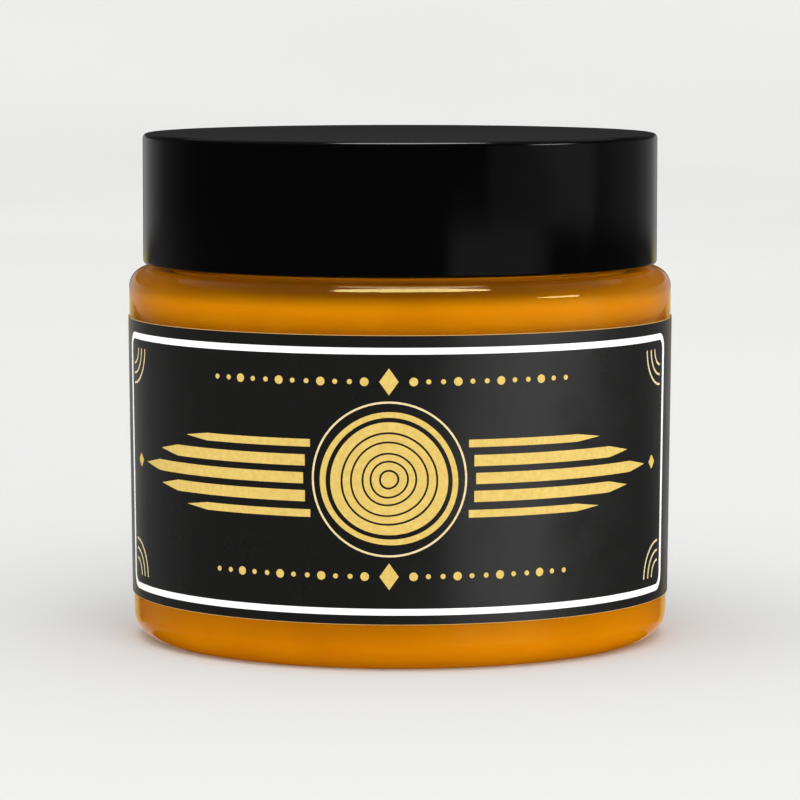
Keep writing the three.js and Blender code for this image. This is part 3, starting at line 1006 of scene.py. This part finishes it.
# %% Paint for the card that only mirror rays see
SIDE_TONES = [
    (-140, 0.17), (-127, 0.11), (-102, 0.05), (-90, 0.03), (18, 0.03), (25, 0.42), (60, 0.4), (72, 0.02),
    (126, 0.02), (140, 0.1)]
CAP_TONES = [
    (-180, 0.02), (-172, 0.02), (-166, 0.36), (-157, 0.42), (-146, 0.3), (-138, 0.19), (-127, 0.09),
    (-112, 0.04), (-98, 0.015), (38, 0.01), (40, 0.18), (64, 0.22), (72, 0.36), (92, 0.36), (97, 0.1),
    (112, 0.14), (126, 0.13), (139, 0.19), (150, 0.26), (160, 0.4), (166, 0.4), (172, 0.02), (180, 0.02)]
LABEL_TONES = [
    (-180, 0.02), (-172, 0.02), (-166, 0.5), (-154, 0.42), *SIDE_TONES,
    (154, 0.3), (166, 0.5), (172, 0.02), (180, 0.02)]
JAR_TONES = [
    (-180, 0.1), (-174, 0.6, 0.65), (-164, 0.58, 0.45), (-157, 0.5, 0.28), (-150, 0.02), *SIDE_TONES[1:-1],
    (150, 0.02), (157, 0.5, 0.28), (164, 0.58, 0.45), (174, 0.6, 0.65), (180, 0.1)]
ABOVE_TONES = [(-180, 0.03), (180, 0.03)]
CEILING_TONES = [(-180, 0.3), (0, 0.12), (180, 0.3)]
AMBER_GREEN = 0.78  # the green that stays in a tone with no blue left


def card_paint(name, tones):
    """Tones by azimuth, 0 towards the camera; a third number is the blue that an amber tone keeps."""
    material, tree, shader = finish(name, Base_Color=(0, 0, 0, 1), Emission_Strength=1.0)
    around = add(tree, "ShaderNodeTexGradient", links={"Vector": on_surface(tree)}, gradient_type="RADIAL")
    painted = add(tree, "ShaderNodeValToRGB", links={"Fac": around.outputs["Fac"]})
    while len(painted.color_ramp.elements) < len(tones):
        painted.color_ramp.elements.new(0.5)
    for element, (azimuth, tone, *rest) in zip(painted.color_ramp.elements, tones):
        blue = rest[0] if rest else 1
        green = blue + AMBER_GREEN * (1 - blue)
        element.position = (azimuth + 180) / 360
        element.color = (tone, tone * green, tone * blue, 1)
    tree.links.new(painted.outputs["Color"], shader.inputs["Emission Color"])
    return material


# %% Card
CARD_RADIUS = 0.8
CARD_SIDES = 120
CARD_FOOT = -0.3
for_jar = card_paint("card_for_jar", JAR_TONES)
for_label = card_paint("card_for_label", LABEL_TONES)
for_cap = card_paint("card_for_cap", CAP_TONES)
for_above = card_paint("card_for_above", ABOVE_TONES)
for_cap_top = card_paint("card_for_cap_top", CEILING_TONES)
# From the foot up: the height of each band's top edge, and its paint.
CARD_BANDS = [(-0.18, for_label), (-0.106, for_jar), (-0.04, for_label), (-0.022, for_jar),
              (0.12, for_cap), (0.55, for_above)]
around = [2 * math.pi * k / CARD_SIDES for k in range(CARD_SIDES)]
bm = bmesh.new()
rings = []
for z in (CARD_FOOT, *(top for top, _ in CARD_BANDS)):
    rings.append([bm.verts.new((CARD_RADIUS * math.cos(a), CARD_RADIUS * math.sin(a), z)) for a in around])
for place, (low, high) in enumerate(zip(rings, rings[1:])):
    for k in range(CARD_SIDES):
        n = (k + 1) % CARD_SIDES
        bm.faces.new((low[n], low[k], high[k], high[n])).material_index = place
bm.faces.new(rings[-1]).material_index = len(CARD_BANDS)
mesh = mesh_from(bm, "mirror_card")
for paint in (*(paint for _, paint in CARD_BANDS), for_cap_top):
    mesh.materials.append(paint)
card = bpy.data.objects.new("mirror_card", mesh)
card.rotation_euler.z = -math.pi / 2
bpy.context.collection.objects.link(card)
for ray in ("camera", "diffuse", "transmission", "volume_scatter", "shadow"):
    setattr(card, f"visible_{ray}", False)
print(f"card: {len(CARD_BANDS)} bands and a ceiling, {len(mesh.polygons)} faces")

# %% [markdown]
# A soft studio light is a large flat lamp. One lamp could both light the jar and be mirrored in it, but then
# moving a highlight would change the light, so two oval lamps make only highlights, and five large ones far
# away make only light.

# %% Lights
TARGET = Vector((0, 0, 0.02))
# Name, azimuth and elevation in degrees, distance, width, height, brightness, mirrored or not.
LIGHTS = [
    ("strip_above", 10, 75.5, 0.5, 0.4, 0.2, 16.0, True),
    ("glint_right", 70, 15, 0.5, 0.19, 0.07, 13.0, True),
    ("fill_front", 26, -9, 3.0, 2.7, 2.7, 1.85, False),
    ("fill_brow", 10, 42, 3.0, 2.7, 1.5, 1.6, False),
    ("fill_left", -85, -12, 3.0, 2.4, 2.4, 3.4, False),
    ("fill_right", 80, -12, 3.0, 2.4, 2.4, 3.0, False),
    ("fill_top", -20, 75, 3.0, 2.7, 2.7, 1.1, False),
]


def softbox(name, azimuth, elevation, distance, width, height, brightness, mirrored):
    """A flat light. Azimuth 0 is towards the camera and grows to its right; brightness is radiance."""
    a, e = math.radians(azimuth), math.radians(elevation)
    away = Vector((math.sin(a) * math.cos(e), -math.cos(a) * math.cos(e), math.sin(e)))
    area = width * height * (math.pi / 4 if mirrored else 1)
    lamp = bpy.data.lights.new(name, "AREA")
    lamp.shape = "ELLIPSE" if mirrored else "RECTANGLE"
    lamp.size, lamp.size_y = width, height
    lamp.energy = brightness * math.pi * area
    light = bpy.data.objects.new(name, lamp)
    light.location = TARGET + away * distance
    light.rotation_euler = away.to_track_quat("Z", "Y").to_euler()
    light.visible_camera = False
    light.visible_transmission = False
    light.visible_glossy = mirrored
    light.visible_diffuse = not mirrored
    bpy.context.collection.objects.link(light)
    print(f"light {name}: {lamp.energy:.2f} W")


for light in LIGHTS:
    softbox(*light)

# %% [markdown]
# The camera stands 0.36 m away, a little above the cap, with a long lens. Nearer, the label's edges would
# curve more, and further away they would be flatter.

# %% Camera
CAMERA_HEIGHT = 53.1
CAMERA_DISTANCE = 360.0
CAMERA_DOWN = 5.37  # degrees
LENS = 197.56
SENSOR = 36.0
camera_data = bpy.data.cameras.new("camera")
camera_data.lens = LENS
camera_data.sensor_width = SENSOR
camera = bpy.data.objects.new("camera", camera_data)
camera.location = (0, -CAMERA_DISTANCE * MM, CAMERA_HEIGHT * MM)
camera.rotation_euler = (math.radians(90 - CAMERA_DOWN), 0, 0)
bpy.context.collection.objects.link(camera)
bpy.context.scene.camera = camera
bpy.context.scene.view_settings.view_transform = "Standard"
print(f"camera: {LENS} mm lens, {CAMERA_DISTANCE:.0f} mm away")
